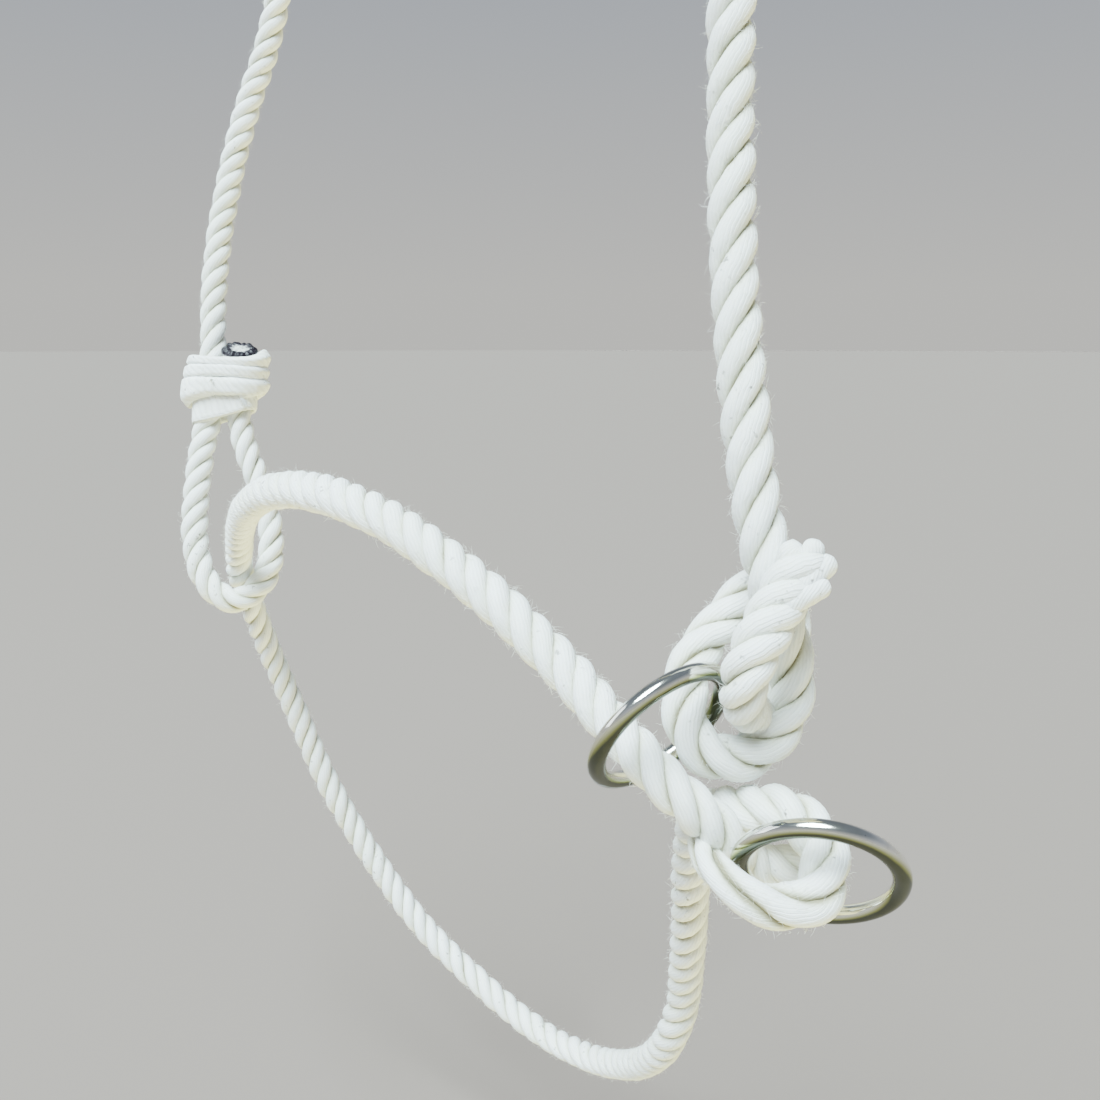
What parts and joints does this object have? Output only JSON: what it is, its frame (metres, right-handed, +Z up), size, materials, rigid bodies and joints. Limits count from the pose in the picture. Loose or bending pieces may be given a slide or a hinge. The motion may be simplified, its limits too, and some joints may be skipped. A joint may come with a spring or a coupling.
{
  "type": "rope halter",
  "caption": "Hand-tied cotton rope halter hung by its crown, with a seized eye, noseband, chin loop and two knotted steel rings.",
  "frame": {"origin": "underside of the crown where it hangs on its hook", "axes": "+X right along the wall as seen from the room, +Y into the wall, +Z up"},
  "size_m": [0.3134, 0.1281, 0.6283],
  "materials": {
    "cotton_rope": "soft twisted cotton, slightly fuzzy",
    "ring_steel": "polished nickel-plated steel",
    "seizing_cotton": "loose cotton yarn",
    "melted_end": "singed and hardened, dark rim"
  },
  "bodies": {
    "root": {"left_eye_rope": "cotton_rope", "crown_rope": "cotton_rope", "upper_knot_rope": "cotton_rope", "upper_knot_tail": "cotton_rope", "nose_rope_end": "cotton_rope", "noseband_rope": "cotton_rope", "chin_rope": "cotton_rope", "lower_knot_rope": "cotton_rope", "lower_knot_tip": "cotton_rope", "seizing_turns": "seizing_cotton", "seizing_band": "seizing_cotton", "melted_rope_end": "melted_end"},
    "upper_ring": {"upper_ring": "ring_steel"},
    "lower_ring": {"lower_ring": "ring_steel"}
  },
  "joints": [
    {"name": "upper_ring_swing", "type": "hinge", "parent": "root", "child": "upper_ring", "pos_m": [0.12776, -0.0797, -0.42217], "axis": [-0.3029, 0.4049, 0.8627], "range_deg": [-16, 3]},
    {"name": "lower_ring_swing", "type": "hinge", "parent": "root", "child": "lower_ring", "pos_m": [0.15753, -0.07458, -0.45068], "axis": [0.2841, -0.7773, -0.5613], "range_deg": [-28, 3]}
  ]
}
